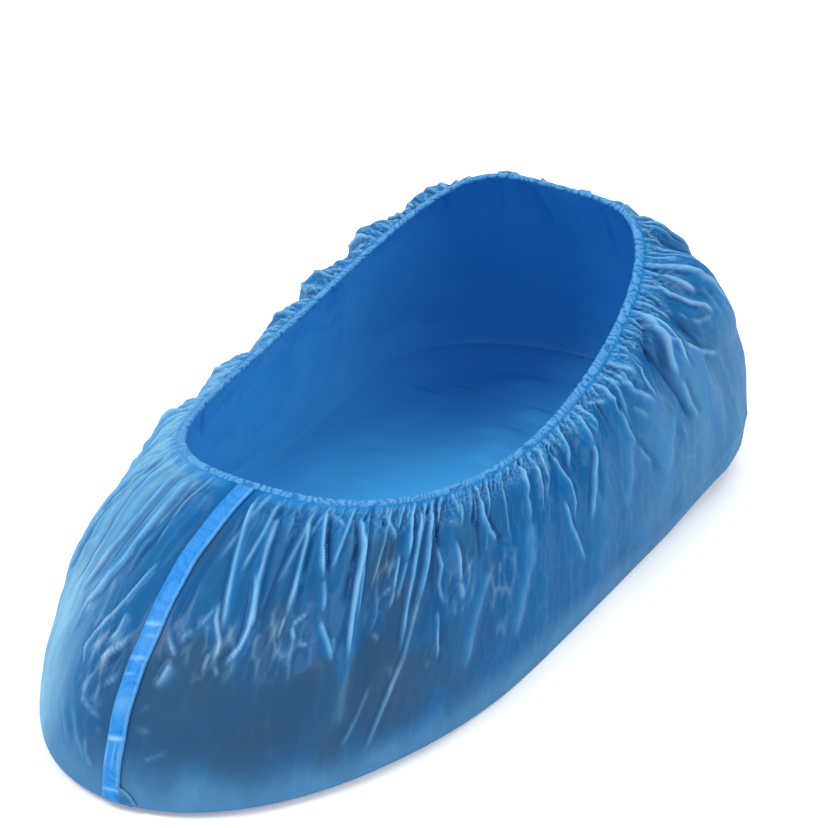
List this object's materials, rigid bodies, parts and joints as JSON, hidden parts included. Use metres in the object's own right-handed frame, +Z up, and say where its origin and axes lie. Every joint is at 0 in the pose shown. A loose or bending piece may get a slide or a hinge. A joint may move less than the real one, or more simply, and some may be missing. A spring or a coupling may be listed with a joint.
{
  "type": "disposable shoe cover",
  "caption": "Disposable shoe cover of thin blue film, worn form: flat sole, gathered elastic rim, welded toe seam, open hollow top.",
  "frame": {"origin": "on the floor under the middle of the cover's box, at the underside of the flat sole", "axes": "+Z up, out of the opening; -Y towards the toe; +X to the side that faces the viewer"},
  "size_m": [0.1342, 0.2957, 0.0846],
  "materials": {
    "film": "thin blue polyethylene film, slightly see-through, glossy, creased",
    "hem": "film doubled and ruched over elastic",
    "seam": "doubled, welded film, more opaque"
  },
  "bodies": {
    "root": {"film_body": "film", "elastic_hem": "hem", "toe_strip": "seam"}
  },
  "joints": []
}
